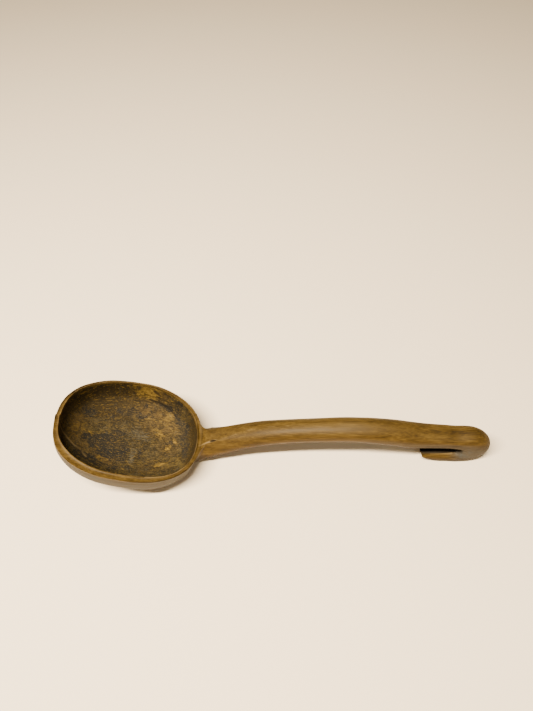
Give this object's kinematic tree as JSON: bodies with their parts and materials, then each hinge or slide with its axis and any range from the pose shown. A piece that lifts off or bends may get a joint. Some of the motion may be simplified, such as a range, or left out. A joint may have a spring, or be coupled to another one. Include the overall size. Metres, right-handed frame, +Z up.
{
  "type": "wooden ladle",
  "caption": "One-piece carved wooden ladle: deep oval bowl, deep neck, arched round grip and a slotted hook end, oiled and worn.",
  "frame": {"origin": "bottom centre of the ladle's box, on the surface that it lies on", "axes": "+X from the toe of the bowl to the hook, +Y to the far side, +Z up with the ladle lying mouth up"},
  "size_m": [0.382, 0.096, 0.0621],
  "materials": {
    "carved_wood": "hand carved hardwood, oiled and worn to a soft gloss"
  },
  "bodies": {
    "root": {"bowl": "carved_wood", "neck": "carved_wood", "grip": "carved_wood", "hook_heel": "carved_wood", "hook_tongue": "carved_wood"}
  },
  "joints": []
}
